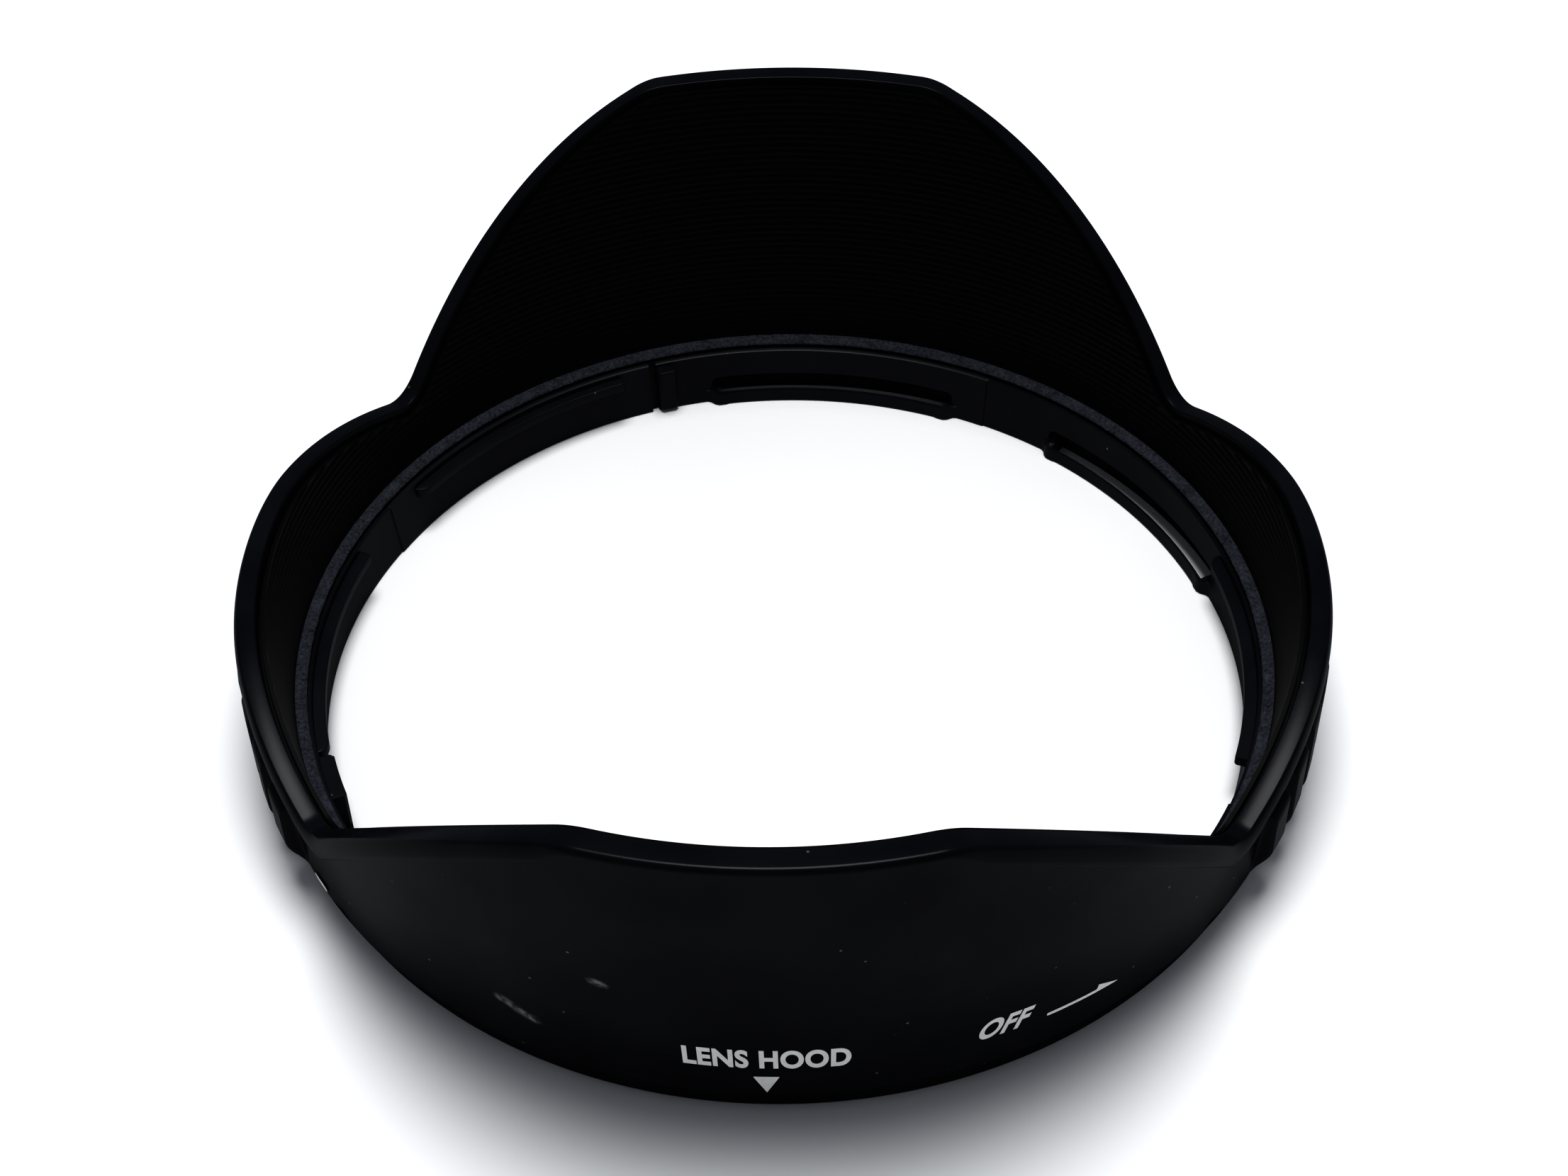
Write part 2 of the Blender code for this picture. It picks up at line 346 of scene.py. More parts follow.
def dust_mask(material, place):
    """A soft speck in a few of the cells, and 0 elsewhere."""
    cells = add_node(material, "ShaderNodeTexVoronoi", {"Vector": place, "Scale": per_mm(DUST_SPACING)})
    lone = add_node(material, "ShaderNodeMapRange", {0: cells.outputs["Color"], 1: 0.66, 2: 0.7})
    speck = add_node(material, "ShaderNodeMapRange",
                     {0: cells.outputs["Distance"], 1: 0.02, 2: 0.08, 3: 0.5, 4: 0.0})
    return add_node(material, "ShaderNodeMath", {0: lone.outputs[0], 1: speck.outputs[0]},
                    operation="MULTIPLY").outputs[0]


def wear_mask(material, place, scuffs):
    """Dust and scuffs together, where 1 is rubbed quite grey."""
    wear = dust_mask(material, place)
    smear = add_node(material, "ShaderNodeTexNoise", {"Vector": place, "Scale": per_mm(SMEAR), "Detail": 3.0})
    patchy = add_node(material, "ShaderNodeMapRange",
                      {0: smear.outputs[0], 1: 0.35, 2: 0.7, 3: 0.05, 4: 0.7})
    for start, end, width in scuffs:
        rubbed = scuff_mask(material, place, start, end, width)
        rubbed = add_node(material, "ShaderNodeMath", {0: rubbed, 1: patchy.outputs[0]},
                          operation="MULTIPLY")
        wear = add_node(material, "ShaderNodeMath", {0: wear, 1: rubbed.outputs[0]},
                        operation="MAXIMUM").outputs[0]
    return wear


print("%d scuffs, and dust in cells of %.1f mm" % (len(SCUFFS), DUST_SPACING))

# %% [markdown]
# Now the plastic. The wear only moves its colour towards the grey of rubbed ABS, and the grain is a
# very low bump under both the matt base and the coat.

# %% Moulded ABS
ABS_IOR = 1.53
GRAIN = 0.22         # drawn coarser than the real 0.05 mm grain
GRAIN_DEPTH = 0.005
HANDLING = 9.0       # size of the patches where hands changed the black
MOTTLE = 0.014       # and how far such a patch goes towards the colour of worn plastic
WORN = "#b4b6ba"


def moulded_abs(name, base, shine, gloss, scuffs=()):
    """shine is the roughness of the smooth share of the surface, and gloss is that share."""
    material, place = new_material(name)
    grain = add_node(material, "ShaderNodeTexNoise", {"Vector": place, "Scale": per_mm(GRAIN), "Detail": 3.0})
    handling = add_node(material, "ShaderNodeTexNoise",
                        {"Vector": place, "Scale": per_mm(HANDLING), "Detail": 4.0})
    mottle = add_node(material, "ShaderNodeMapRange",
                      {0: handling.outputs[0], 1: 0.35, 2: 0.65, 3: 0.0, 4: MOTTLE})
    light = add_node(material, "ShaderNodeMath",
                     {0: mottle.outputs[0], 1: wear_mask(material, place, scuffs)}, operation="MAXIMUM")
    colour = add_node(material, "ShaderNodeMix", {0: light.outputs[0], 6: linear(base), 7: linear(WORN)},
                      data_type="RGBA")
    bump = add_node(material, "ShaderNodeBump",
                    {"Height": grain.outputs[0], "Strength": 0.6, "Distance": GRAIN_DEPTH * MM})
    shader = add_node(material, "ShaderNodeBsdfPrincipled",
                      {"Base Color": colour.outputs[2], "Roughness": 0.9, "IOR": ABS_IOR,
                       "Specular IOR Level": 0.0, "Coat Weight": gloss, "Coat Roughness": shine,
                       "Coat IOR": ABS_IOR, "Normal": bump.outputs[0], "Coat Normal": bump.outputs[0]})
    return close_material(material, shader)


shell_abs = moulded_abs("moulded_abs_shell", "#17181e", 0.28, 0.25, SCUFFS)
ring_abs = moulded_abs("moulded_abs_ring", "#1e1f25", 0.33, 0.26)
print("made", shell_abs.name, "and", ring_abs.name)

# %% [markdown]
# ### The dark lining
#
# The inside of a hood must not throw light into the lens. It is the same ABS, moulded with fine
# ridges all round and left as matt as the mould can make it, so its colour is a shade darker and
# its gloss is nearly gone.

# %% Ridged matt ABS
LINING_GRAIN = 0.3


def matt_lining():
    material, place = new_material("ridged_matt_abs")
    grain = add_node(material, "ShaderNodeTexNoise",
                     {"Vector": place, "Scale": per_mm(LINING_GRAIN), "Detail": 3.0})
    colour = add_node(material, "ShaderNodeMix",
                      {0: grain.outputs[0], 6: linear("#030406"), 7: linear("#07080b")}, data_type="RGBA")
    bump = add_node(material, "ShaderNodeBump",
                    {"Height": grain.outputs[0], "Strength": 0.5, "Distance": 0.02 * MM})
    shader = add_node(material, "ShaderNodeBsdfPrincipled",
                      {"Base Color": colour.outputs[2], "Roughness": 0.55, "IOR": ABS_IOR,
                       "Specular IOR Level": 0.15, "Normal": bump.outputs[0]})
    return close_material(material, shader)


lining_abs = matt_lining()
print("made", lining_abs.name)

# %% [markdown]
# ### The textured light-trap ring
#
# Above the bayonet runs a narrow ledge with a coarse, dusty-looking texture, like flock. It
# scatters what light it gets evenly, so it reads as a grey, grainy band against the black wall.

# %% Coarse matt texture
FIBRE = 0.28         # size of a tuft, and of the lighter and darker clumps
CLUMP = 1.6


def flocked():
    material, place = new_material("coarse_matt_texture")
    fibre = add_node(material, "ShaderNodeTexNoise",
                     {"Vector": place, "Scale": per_mm(FIBRE), "Detail": 5.0, "Roughness": 0.7})
    clump = add_node(material, "ShaderNodeTexNoise",
                     {"Vector": place, "Scale": per_mm(CLUMP), "Detail": 2.0})
    both = add_node(material, "ShaderNodeMath", {0: clump.outputs[0], 1: 0.3, 2: fibre.outputs[0]},
                    operation="MULTIPLY_ADD")
    share = add_node(material, "ShaderNodeMapRange", {0: both.outputs[0], 1: 0.45, 2: 0.85})
    colour = add_node(material, "ShaderNodeMix",
                      {0: share.outputs[0], 6: linear("#26272d"), 7: linear("#52545c")}, data_type="RGBA")
    bump = add_node(material, "ShaderNodeBump",
                    {"Height": fibre.outputs[0], "Strength": 0.9, "Distance": 0.06 * MM})
    shader = add_node(material, "ShaderNodeBsdfPrincipled",
                      {"Base Color": colour.outputs[2], "Roughness": 0.9, "IOR": ABS_IOR,
                       "Specular IOR Level": 0.2, "Normal": bump.outputs[0]})
    return close_material(material, shader)


trap_texture = flocked()
print("made", trap_texture.name)

# %% [markdown]
# ### Pad-printed ink
#
# The marks are white ink pressed on with a silicone pad. It is opaque, a little off white and
# satin, with edges that are never perfectly even, so a fine noise thins it slightly.

# %% White ink
INK_IOR = 1.5
INK_CLOUD = 0.5      # size of the thinner spots


def pad_ink():
    material, place = new_material("pad_printed_ink")
    thin = add_node(material, "ShaderNodeTexNoise",
                    {"Vector": place, "Scale": per_mm(INK_CLOUD), "Detail": 3.0})
    colour = add_node(material, "ShaderNodeMix",
                      {0: thin.outputs[0], 6: linear("#e2e2e2"), 7: linear("#f6f6f4")}, data_type="RGBA")
    bump = add_node(material, "ShaderNodeBump",
                    {"Height": thin.outputs[0], "Strength": 0.2, "Distance": 0.01 * MM})
    shader = add_node(material, "ShaderNodeBsdfPrincipled",
                      {"Base Color": colour.outputs[2], "Roughness": 0.5, "IOR": INK_IOR,
                       "Normal": bump.outputs[0]})
    return close_material(material, shader)


white_ink = pad_ink()
print("made", white_ink.name)

# %% [markdown]
# ## The petal shell
#
# The shell is the one big moulding: the cone with its grips, its rim and the rounded lip that
# stiffens the edge. Three things make it look moulded rather than turned:
#
# - the rim has a rounded outer edge, and the wall below it is tucked in, so a soft lip stands out;
# - the two low petals have wide shallow grip ribs, which fill the cone out to a straight cylinder.
#   They rise slowly from the foot and sink back into the wall just below the lip;
# - the foot is rounded, and that thin round catches the light above the darker ring.
#
# It is swept with rows set square to the rim near the edge, and evenly from there down to the foot.

# %% Where the columns and ribs go
RIB_COUNT = 12
RIB_PITCH, RIB_TOP, RIB_FLANK = 5.25, 3.0, 0.5       # in degrees: spacing, flat top and one flank
GRIP_HALF = RIB_PITCH * RIB_COUNT / 2.0
FINE_STEP, PLAIN_STEP = 0.1, 0.25     # degrees between columns on the grips and between them


def shell_columns():
    fine = even(-GRIP_HALF, GRIP_HALF, FINE_STEP)[:-1]
    plain = even(GRIP_HALF, 180.0 - GRIP_HALF, PLAIN_STEP)[:-1]
    return np.concatenate([fine, plain, fine + 180.0, plain + 180.0])


def rib_share(azimuth):
    """1 on top of a grip rib, 0 between ribs and away from the grips."""
    share = np.zeros_like(azimuth)
    for middle in (0.0, 180.0):
        turn = apart(azimuth, middle)
        nearest = (np.floor(turn / RIB_PITCH) + 0.5) * RIB_PITCH
        flank = (np.abs(turn - nearest) - RIB_TOP / 2.0) / RIB_FLANK
        share += (1.0 - smooth_step(flank)) * (np.abs(turn) < GRIP_HALF)
    return share


columns = shell_columns()
print("%d columns" % len(columns))

# %% [markdown]
# The lip isn't the same all the way. It is tall on the slopes of the petals and low on the flat
# tops of the two tall ones, so its height depends on the direction. One function gives the outside
# of the shell anywhere: the cone, less the tuck below the lip, plus a rib where there is one.

# %% The lip and the outside of the shell
EDGE = 0.5            # rounding of the rim's outer edge, and its height where the rim is flat
SLOPE_EDGE = 1.3      # and its height along the slopes
SLOPE_LIP, FLAT_LIP = 1.75, 0.56      # height of the lip on the petals' slopes and on their flat tops
FLAT_HALF = 16.4      # half of a tall petal's flat top, in degrees
LIP_EARLY, LIP_SPREAD = 1.5, 4.0      # degrees before the top's end, and over which the lip grows
LIP_PROUD = 0.32      # how far the lip stands out from the wall below it
LIP_FILLET = 0.25
TUCK_FADE = 9.0       # the wall comes back out to the cone over this height
RIB_START, RIB_FULL = 2.6, 6.5        # heights over which the ribs rise from the wall
RIB_FADE = 1.0        # and the way below the lip in which they sink back into it


def edge_and_lip(azimuth):
    """Heights of the rounded edge and of the lip: tall on the slopes, low on a petal's flat top."""
    from_top = np.minimum(np.abs(apart(azimuth, 90.0)), np.abs(apart(azimuth, -90.0)))
    slope = smooth_step((from_top - FLAT_HALF + LIP_EARLY) / LIP_SPREAD)
    return EDGE + (SLOPE_EDGE - EDGE) * slope, FLAT_LIP + (SLOPE_LIP - FLAT_LIP) * slope


def outer_radius(azimuth, height, below):
    """Outside of the shell, where below is the distance under the rim, square to it."""
    past_lip = below - edge_and_lip(azimuth)[1]
    tuck = LIP_PROUD * smooth_step(past_lip / LIP_FILLET)
    tuck = tuck * (1.0 - smooth_step((past_lip - LIP_FILLET) / TUCK_FADE))
    wall = cone_radius(height) - tuck
    rise = smooth_step((height - RIB_START) / (RIB_FULL - RIB_START)) * smooth_step(past_lip / RIB_FADE)
    return wall + np.maximum(GRIP_RADIUS - wall, 0.0) * rib_share(azimuth) * rise


print("lip: %.2f mm on a slope, %.2f mm on a flat top" % (edge_and_lip(60.0)[1], edge_and_lip(90.0)[1]))

# %% [markdown]
# The outline starts at the inner foot, goes up the outside, over the rim and down to the groove
# inside the lip. Rows lie close together under the lip, where the wall bends most.

# %% The shell's outline and mesh
WALL = 1.2
RIM_WALL = 2.1        # width of the rim's face
LIP_DEPTH = 1.0       # the thick rim goes down this far on the inside
INNER_EDGE = 0.12
FOOT_EDGE = 0.3
WALL_ROWS = 25
BELOW_LIP = (2.85, 2.25, 1.65, 1.15, 0.75, 0.5, 0.36, 0.28, 0.22, 0.17, 0.12, 0.06, 0.0)
UP_THE_LIP = (0.35, 0.7, 1.0)         # shares of the way from the lip's foot to its rounded edge


def shell_outline(azimuth):
    rim = rim_height(azimuth)
    stretch = rim_stretch(azimuth)
    edge, lip = edge_and_lip(azimuth)
    outline = [(FOOT_RADIUS - WALL, SHELL_FOOT)]
    outline += round_edge((FOOT_RADIUS - FOOT_EDGE, SHELL_FOOT + FOOT_EDGE), (FOOT_EDGE, FOOT_EDGE), -90, -10)
    near_rim = [lip + step for step in BELOW_LIP] + [lip + (edge - lip) * share for share in UP_THE_LIP]
    top_row = rim - near_rim[0] * stretch
    foot_row = SHELL_FOOT + FOOT_EDGE
    for share in np.linspace(0.0, 1.0, WALL_ROWS + 1)[:-1]:
        height = foot_row + (top_row - foot_row) * share
        outline.append((outer_radius(azimuth, height, (rim - height) / stretch), height))
    for below in near_rim:
        height = rim - below * stretch
        outline.append((outer_radius(azimuth, height, below), height))
    edge_radius, edge_low = outline[-1]
    outline += round_edge((edge_radius - EDGE, edge_low), (EDGE, edge * stretch), 8, 90, 9)
    face_end = cone_radius(rim) - RIM_WALL
    outline += round_edge((face_end + INNER_EDGE, rim - INNER_EDGE), (INNER_EDGE, INNER_EDGE), 90, 180, 4)
    lip_end = rim - LIP_DEPTH * stretch
    outline.append((cone_radius(lip_end) - RIM_WALL, lip_end))
    outline.append((cone_radius(lip_end) - WALL, lip_end))
    return outline


shell = sweep("shell_moulding", columns, shell_outline(columns), shell_abs)
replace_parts(shell, "petal_shell")

# %% [markdown]
# ## The ridged lining
#
# Inside the shell sits a thin lining that covers the wall from the ledge up to the rim. Its top
# edge stands just inside the lip, which leaves a narrow dark groove and a thin bright line all
# along the rim. Its face has fine V-shaped ridges that run level round the cone.
#
# Level ridges and a sloping edge don't share a grid. So the rows stay level, at the crest and the
# foot of each ridge, and every column ends at its own point on the sloping edge: rows above it
# fall together there, and cells that lose a side become triangles or go.

# %% Lining mesh
RIDGE_PITCH = 0.66
RIDGE_DEPTH = 0.12
LINER_FACE_FOOT = 43.6     # radius of the lining's face at its foot
FOOT_DIP = 0.05            # the foot goes this far below the top of the ledge
GAP_TO_SHELL = 0.3
CREST_WALL = 0.35          # width of the bright line on top
CREST_DROP = 0.66          # and how far it lies below the rim
RIDGE_SHARP = 25.0
LINER_STEP = 0.4           # degrees between columns


def lining(azimuths):
    rim = rim_height(azimuths)
    stretch = rim_stretch(azimuths)
    crest = rim - CREST_DROP
    crest_face = cone_radius(crest) - RIM_WALL - GAP_TO_SHELL - CREST_WALL
    levels = np.arange(TRAP_TOP - FOOT_DIP, crest.max() + RIDGE_PITCH, RIDGE_PITCH / 2.0)
    points, faces, grid = [], [], []
    for i, azimuth in enumerate(azimuths):
        slope = (crest_face[i] - LINER_FACE_FOOT) / (crest[i] - levels[0])
        turn = math.radians(azimuth)
        column = []
        for j, level in enumerate(levels):
            height = min(level, crest[i])
            radius = LINER_FACE_FOOT + slope * (height - levels[0])
            if level < crest[i] and j % 2:
                radius += RIDGE_DEPTH
            column.append(len(points))
            points.append(polar(radius, turn, height))
            if level >= crest[i]:
                break
        shoulder = rim[i] - (LIP_DEPTH + GAP_TO_SHELL) * stretch[i]
        back = WALL + GAP_TO_SHELL
        groove = RIM_WALL + GAP_TO_SHELL
        edge = [(crest_face[i] + CREST_WALL, crest[i]), (cone_radius(shoulder) - groove, shoulder),
                (cone_radius(shoulder) - back, shoulder), (cone_radius(levels[0]) - back, levels[0])]
        rest = []
        for radius, height in edge:
            rest.append(len(points))
            points.append(polar(radius, turn, height))
        grid.append((column, rest))
    for i, (column, rest) in enumerate(grid):
        next_column, next_rest = grid[(i + 1) % len(grid)]
        for j in range(max(len(column), len(next_column)) - 1):
            a, b = column[min(j, len(column) - 1)], column[min(j + 1, len(column) - 1)]
            c, d = next_column[min(j + 1, len(next_column) - 1)], next_column[min(j, len(next_column) - 1)]
            face = list(dict.fromkeys((a, b, c, d)))
            if len(face) > 2:
                faces.append(face)
        ring_here = [column[-1], *rest, column[0]]
        ring_next = [next_column[-1], *next_rest, next_column[0]]
        for j in range(len(ring_here) - 1):
            faces.append((ring_here[j], ring_here[j + 1], ring_next[j + 1], ring_next[j]))
    return finish_piece("ridged_lining", points, faces, lining_abs, RIDGE_SHARP)


liner = lining(even(0.0, 360.0, LINER_STEP)[:-1])
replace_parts(liner, "ribbed_liner")

# %% [markdown]
# ## The light-trap ring
#
# The ledge between the bayonet and the lining rises a little outwards, with soft edges. The
# texture is coarse enough to show in its outline, so the points are also shaken by a few
# hundredths of a millimetre, from a seeded generator that gives the same ring each time.

# %% Ledge mesh
TRAP_INNER = 42.6
TRAP_INNER_TOP = 6.2
TRAP_ROUND = 0.18
TRAP_LIFT = 0.22      # gap between the ring's top and the ledge
TRAP_TUCK = 0.3       # the ledge reaches this far under the lining
TRAP_ROWS = 9
TRAP_STEP = 0.3       # degrees between columns
SHAKE = 0.025
SHAKE_SEED = 11


def light_trap(azimuths):
    low = RING_TOP + TRAP_LIFT
    outline = [(TRAP_RADIUS + TRAP_TUCK, low), (TRAP_INNER + TRAP_ROUND, low), (TRAP_INNER, low + TRAP_ROUND)]
    outline += [(TRAP_INNER, TRAP_INNER_TOP - TRAP_ROUND), (TRAP_INNER + 0.06, TRAP_INNER_TOP - 0.05)]
    for share in np.linspace(0.12, 1.0, TRAP_ROWS):
        radius = TRAP_INNER + (TRAP_RADIUS - TRAP_INNER) * share
        outline.append((radius, TRAP_INNER_TOP + (TRAP_TOP - TRAP_INNER_TOP) * share))
    outline.append((TRAP_RADIUS + TRAP_TUCK, TRAP_TOP))
    random = np.random.default_rng(SHAKE_SEED)
    shaken = [(radius + random.uniform(-SHAKE, SHAKE, azimuths.shape),
               height + random.uniform(-SHAKE, SHAKE, azimuths.shape)) for radius, height in outline]
    return sweep("light_trap_ledge", azimuths, shaken, trap_texture, sharp=80.0)


ledge = light_trap(even(0.0, 360.0, TRAP_STEP)[:-1])
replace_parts(ledge, "light_trap_ring")

# %% [markdown]
# ## The bayonet ring
#
# The ring is what grips the lens. Its bore opens slightly towards the front. Four long slots with
# round ends set free four thin strips along the lower edge: they bend out as the hood turns on and
# click home. The strips stand a little proud of the bore, which is how they touch the lens first.
#
# The ring itself is swept, with a bore that changes with azimuth. The slots are cut with a Boolean
# from stadium-shaped cutters, whose mouths are slightly wider so the slot's edge isn't razor sharp.

# %% Bore of the ring
SEAT = 41.6
SEAT_MOUTH = 42.3
SLOT_LOW, SLOT_HIGH, SLOT_DEPTH = 1.4, 2.8, 1.9
SLOT_CENTRES = (35.0, 84.5, 215.0, 264.5)
SLOT_HALF = 17.2
STRIP_PROUD = 0.7
STRIP_SHORTER, STRIP_FLANK = 0.5, 1.2       # degrees: a strip ends before its slot, and slopes off
BUMP_INSET, BUMP_HALF, BUMP_FLANK, BUMP_PROUD = 1.2, 0.3, 0.9, 0.12     # the bump near a strip's end
STOP_GROOVES = (109.95, 289.95)             # middle of the groove beside a stop
GROOVE_HALF, GROOVE_FLANK, GROOVE_DEPTH = 0.42, 0.08, 0.45
STEP_FROM, STEP_TO, STEP_FLANK, STEP_PROUD = 62.5, 154.5, 0.1, 0.12


def window(turn, half, soft):
    """1 inside half degrees of the middle, falling to 0 over soft degrees."""
    return 1.0 - smooth_step((np.abs(turn) - half) / soft)


def bore_radius(azimuth, height):
    radius = SEAT + (SEAT_MOUTH - SEAT) * height / RING_TOP + np.zeros_like(azimuth)
    for turn in (0.0, 180.0):
        middle = (STEP_FROM + STEP_TO) / 2.0 + turn
        radius -= STEP_PROUD * window(apart(azimuth, middle), (STEP_TO - STEP_FROM) / 2.0, STEP_FLANK)
    if height < SLOT_LOW:
        for centre in SLOT_CENTRES:
            radius -= STRIP_PROUD * window(apart(azimuth, centre), SLOT_HALF - STRIP_SHORTER, STRIP_FLANK)
            for end in (BUMP_INSET - SLOT_HALF, SLOT_HALF - BUMP_INSET):
                radius -= BUMP_PROUD * window(apart(azimuth, centre + end), BUMP_HALF, BUMP_FLANK)
    for middle in STOP_GROOVES:
        radius += GROOVE_DEPTH * window(apart(azimuth, middle), GROOVE_HALF, GROOVE_FLANK)
    return radius


print("bore: %.1f mm across at the foot" % (2.0 * bore_radius(0.0, 0.0)))

# %% [markdown]
# The ring's outline goes out along the foot, up the outside to the groove under the shell, and back
# down the bore. The bore's levels lie close together where the strips end.

# %% Ring
RING_STEP = 0.5       # degrees between columns
RING_FOOT_ROUND = (0.5, 0.4)
SEAT_FOR_SHELL = 44.5
SHELL_GAP = 0.02
UNDERCUT = (0.4, 0.12)       # depth of the groove under the shell, and how low it starts
MOUTH_ROUND = 0.12
FOOT_ROUND = 0.15
BORE_LEVELS = (5.48, 4.8, 4.0, 3.4, 2.95, 2.65, 2.1, 1.55, 1.42, 1.38, 1.2, 0.8, 0.4, 0.15)


def ring_columns():
    """Even columns, with extra ones at the edges of steps and grooves."""
    edges = [turn + side for turn in (STEP_FROM, STEP_TO, STEP_FROM + 180.0, STEP_TO + 180.0)
             for side in (-STEP_FLANK, 0.0, STEP_FLANK)]
    for middle in STOP_GROOVES:
        for side in (GROOVE_HALF, GROOVE_HALF + GROOVE_FLANK):
            edges += [middle - side, middle + side]
    return np.unique(np.round(np.concatenate([even(0.0, 360.0, RING_STEP)[:-1], edges]), 3))


def ring_outline(azimuths):
    across, up = RING_FOOT_ROUND
    depth, below = UNDERCUT
    top = SHELL_FOOT - SHELL_GAP
    outline = [(bore_radius(azimuths, 0.0) + FOOT_ROUND, 0.0)]
    outline += round_edge((RING_RADIUS - across, up), RING_FOOT_ROUND, -90, 0, 6)
    outline += [(RING_RADIUS, SHELL_FOOT - below), (RING_RADIUS - depth, top)]
    outline += [(SEAT_FOR_SHELL, top), (SEAT_FOR_SHELL, RING_TOP), (SEAT_MOUTH + MOUTH_ROUND, RING_TOP)]
    outline += [(bore_radius(azimuths, height), height) for height in BORE_LEVELS]
    return outline


RING_SHARP = 30.0
ring_turns = ring_columns()
ring = sweep("bayonet_ring_moulding", ring_turns, ring_outline(ring_turns), ring_abs, sharp=RING_SHARP)

# %% [markdown]
# A cutter is a closed shape that goes once it has cut. The slot's cutter is a stadium, drawn in
# azimuth and height, and carried outwards in four steps, of which the first two are wider.

# %% Cutters for the slots
SLOT_SOFT = 0.12      # the slot's mouth is this much wider all round
SLOT_START, MOUTH_END, SLOT_TRUE = -1.2, -0.05, 0.16     # from the seat: the cutter starts, narrows, is true
ROUND_STEPS = 13      # points on a round end
STRAIGHT_STEPS = 42   # and on a straight side


def new_cutter(points, faces):
    """A closed shape that is only used to cut; its faces with many corners become triangles."""
    mesh = bpy.data.meshes.new("cutter")
    mesh.from_pydata(points, [], faces)
    work = bmesh.new()
    work.from_mesh(mesh)
    bmesh.ops.triangulate(work, faces=[face for face in work.faces if len(face.verts) > 4])
    bmesh.ops.recalc_face_normals(work, faces=work.faces)
    work.to_mesh(mesh)
    work.free()
    return link_new("cutter", mesh)


def slot_path(straight):
    """Points round a stadium: distance of the centre that a point turns about, and its turn."""
    ends = []
    for side, start in ((1.0, -90.0), (-1.0, 90.0)):
        for turn in np.radians(np.linspace(start, start + 180.0, ROUND_STEPS)):
            ends.append((side * straight, math.cos(turn), math.sin(turn)))
    path = []
    for i, (offset, across, up) in enumerate(ends):
        path.append((offset, across, up))
        if (i + 1) % ROUND_STEPS == 0:
            other = ends[(i + 1) % len(ends)][0]
            for share in np.linspace(0.0, 1.0, STRAIGHT_STEPS)[1:-1]:
                path.append((offset + (other - offset) * share, 0.0, up))
    return path


def slot_cutter(centre):
    """A stadium in azimuth and height, carried outwards through the bore."""
    half_height = (SLOT_HIGH - SLOT_LOW) / 2.0
    middle = (SLOT_HIGH + SLOT_LOW) / 2.0
    path = slot_path(math.radians(SLOT_HALF) * SEAT - half_height)
    rows = ((SLOT_START, SLOT_SOFT), (MOUTH_END, SLOT_SOFT), (SLOT_TRUE, 0.0), (SLOT_DEPTH, 0.0))
    points = []
    for depth, wider in rows:
        size = half_height + wider
        for offset, across, up in path:
            turn = math.radians(centre) + (offset + across * size) / SEAT
            points.append(polar(SEAT + depth, turn, middle + up * size))
    return new_cutter(points, tube_faces(len(rows), len(path)))


print("a slot is cut along %d points" % len(slot_path(1.0)))

# %% [markdown]
# A second cutter opens a channel behind each strip, which leaves the strip thin enough to bend.
# Boolean modifiers do the cutting, and the result becomes the mesh.

# %% Cut the slots and channels
STRIP_THICKNESS = 0.42
CHANNEL_WALL = 0.2    # the channel is this much shallower than the slot
CHANNEL_STEP = 1.0    # degrees between its columns
BELOW_FOOT = -0.5


def channel_cutter(centre):
    """A channel up from the foot to the middle of a slot, behind its strip."""
    azimuths = even(centre - SLOT_HALF + STRIP_FLANK, centre + SLOT_HALF - STRIP_FLANK, CHANNEL_STEP)
    inner, outer = SEAT - STRIP_PROUD + STRIP_THICKNESS, SEAT + SLOT_DEPTH - CHANNEL_WALL
    middle = (SLOT_LOW + SLOT_HIGH) / 2.0
    corners = ((inner, BELOW_FOOT), (outer, BELOW_FOOT), (outer, middle), (inner, middle))
    points = [polar(radius, turn, height) for turn in np.radians(azimuths) for radius, height in corners]
    return new_cutter(points, tube_faces(len(azimuths), len(corners)))


def cut_slots(piece):
    cutters = [slot_cutter(centre) for centre in SLOT_CENTRES]
    cutters += [channel_cutter(centre) for centre in SLOT_CENTRES]
    for cutter in cutters:
        boolean = piece.modifiers.new(cutter.name, "BOOLEAN")
        boolean.operation = "DIFFERENCE"
        boolean.object = cutter
    bpy.context.view_layer.update()
    cut = bpy.data.meshes.new_from_object(piece.evaluated_get(bpy.context.evaluated_depsgraph_get()))
    piece.modifiers.clear()
    piece.data = cut
    cut.shade_smooth()
    cut.set_sharp_from_angle(angle=math.radians(RING_SHARP))
    for cutter in cutters:
        bpy.data.objects.remove(cutter, do_unlink=True)
    print("%s after cutting: %d points" % (piece.name, len(cut.vertices)))


cut_slots(ring)
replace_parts(ring, "bayonet_ring")

# %% [markdown]
# ## Lugs and stops
#
# Four low lugs stand on the bore and hook behind the flange of the lens. Each starts with a round
# nose, so that it finds its way in, and ends square. They are moulded in one with the ring, so here
# they reach into it and their edges are slightly round.

# %% Lugs
LUG_INNER = 41.15
LUG_HALF = 17.5       # half of a lug's length, in degrees
LUG_EMBED = 0.5
SOFT_EDGE = 0.14
NOSE = 1.8            # degrees that the round nose takes
SQUARE_END, SQUARE_SOFT = 0.2, 0.12   # degrees and depth of the soft edge at the square end
LUG_END, END_STEP, LUG_STEP = 2.0, 0.15, 0.7         # degrees: fine columns at each end, then wide ones
LUGS = {"bayonet_lug_side_a": 0.0, "bayonet_lug_side_b": 180.0,
        "bayonet_lug_diagonal_a": 132.0, "bayonet_lug_diagonal_b": 312.0}


